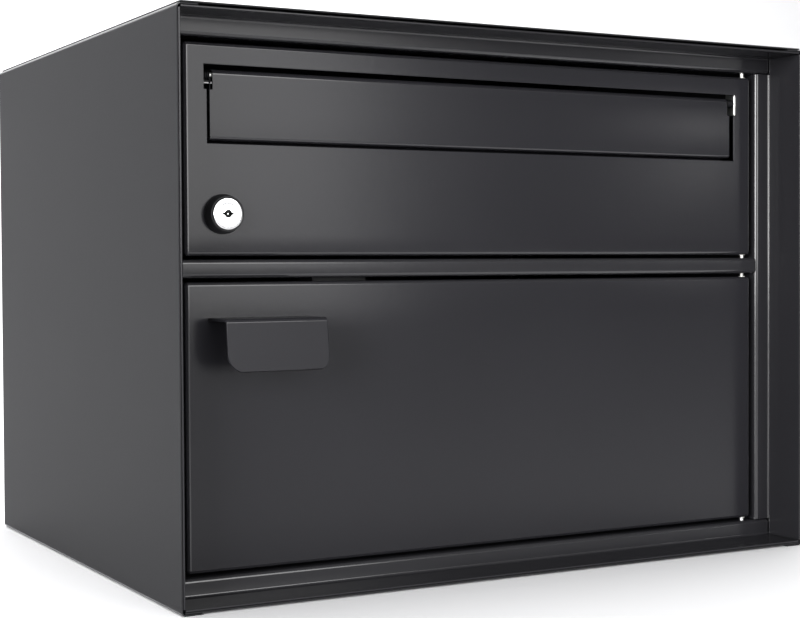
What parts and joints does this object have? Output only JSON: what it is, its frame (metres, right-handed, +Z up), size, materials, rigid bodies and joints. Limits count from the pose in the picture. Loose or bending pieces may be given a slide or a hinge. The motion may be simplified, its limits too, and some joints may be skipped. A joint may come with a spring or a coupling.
{
  "type": "parcel drop box",
  "caption": "Sheet-steel letter and parcel box: a lockable letter door with a push-in slot flap above, a parcel door with a bent pull handle below, both set back behind the front edge.",
  "frame": {"origin": "centre of the base, on the plane of the two lower side flanges", "axes": "+X to the right seen from the front, +Y towards the rear wall, +Z up; the doors face -Y"},
  "size_m": [0.4, 0.32, 0.3],
  "materials": {
    "shell_coat": "anthracite powder coat, satin gloss with a fine texture",
    "frame_coat": "anthracite powder coat, satin gloss, brighter along the bends",
    "door_coat": "anthracite powder coat, the glossier front faces",
    "chrome": "polished chrome",
    "black_plastic": "black moulded plastic",
    "zinc_steel": "bright zinc plate",
    "spring_steel": "dark oiled spring wire",
    "nylon": "natural white nylon",
    "rubber": "black rubber",
    "magnet": "dark grey ferrite"
  },
  "bodies": {
    "housing": {"left_side_panel": "shell_coat", "right_side_panel": "shell_coat", "top_panel": "shell_coat", "bottom_panel": "shell_coat", "rear_panel": "shell_coat", "frame_left_stile": "frame_coat", "frame_right_stile": "frame_coat", "frame_top_rail": "frame_coat", "frame_bottom_rail": "frame_coat", "mid_rail": "frame_coat", "divider_shelf": "frame_coat", "letter_door_stop": "frame_coat", "parcel_door_stop": "frame_coat", "lock_strike": "frame_coat", "magnet_holder": "black_plastic", "fixing_plug_upper_left": "black_plastic", "fixing_plug_upper_right": "black_plastic", "fixing_plug_lower_left": "black_plastic", "fixing_plug_lower_right": "black_plastic", "letter_door_top_pin": "zinc_steel", "letter_door_bottom_pin": "zinc_steel", "parcel_door_top_pin": "zinc_steel", "parcel_door_bottom_pin": "zinc_steel", "letter_door_bumper": "rubber", "parcel_door_bumper": "rubber", "catch_magnet": "magnet"},
    "letter_door": {"letter_door_panel": "door_coat", "letter_door_top_bush": "nylon", "letter_door_bottom_bush": "nylon", "flap_ear_left": "zinc_steel", "flap_ear_right": "zinc_steel", "flap_rod": "zinc_steel", "flap_stop_left": "rubber", "flap_stop_right": "rubber", "lock_collar": "black_plastic", "lock_housing": "chrome", "lock_nut": "zinc_steel"},
    "slot_flap_unit": {"slot_flap": "door_coat", "flap_spring_left": "spring_steel", "flap_spring_right": "spring_steel"},
    "lock_cylinder": {"lock_plug": "chrome", "lock_cam": "zinc_steel", "cam_nut": "zinc_steel"},
    "parcel_door": {"parcel_door_panel": "door_coat", "parcel_door_top_bush": "nylon", "parcel_door_bottom_bush": "nylon", "door_handle": "door_coat", "catch_plate": "zinc_steel"}
  },
  "joints": [
    {"name": "letter_door_hinge", "type": "hinge", "parent": "housing", "child": "letter_door", "pos_m": [0.1802, -0.1283, 0.1763], "axis": [0, 0, 1], "range_deg": [0, 110]},
    {"name": "parcel_door_hinge", "type": "hinge", "parent": "housing", "child": "parcel_door", "pos_m": [0.1802, -0.1283, 0.0146], "axis": [0, 0, 1], "range_deg": [0, 110]},
    {"name": "slot_flap_hinge", "type": "hinge", "parent": "letter_door", "child": "slot_flap_unit", "pos_m": [-0.00115, -0.1275, 0.2685], "axis": [1, 0, 0], "range_deg": [0, 70], "stiffness_Nm_per_rad": 0.02, "springref_deg": -34.38},
    {"name": "lock_turn", "type": "hinge", "parent": "letter_door", "child": "lock_cylinder", "pos_m": [-0.1651, -0.13955, 0.1976], "axis": [0, -1, 0], "range_deg": [0, 90]}
  ]
}
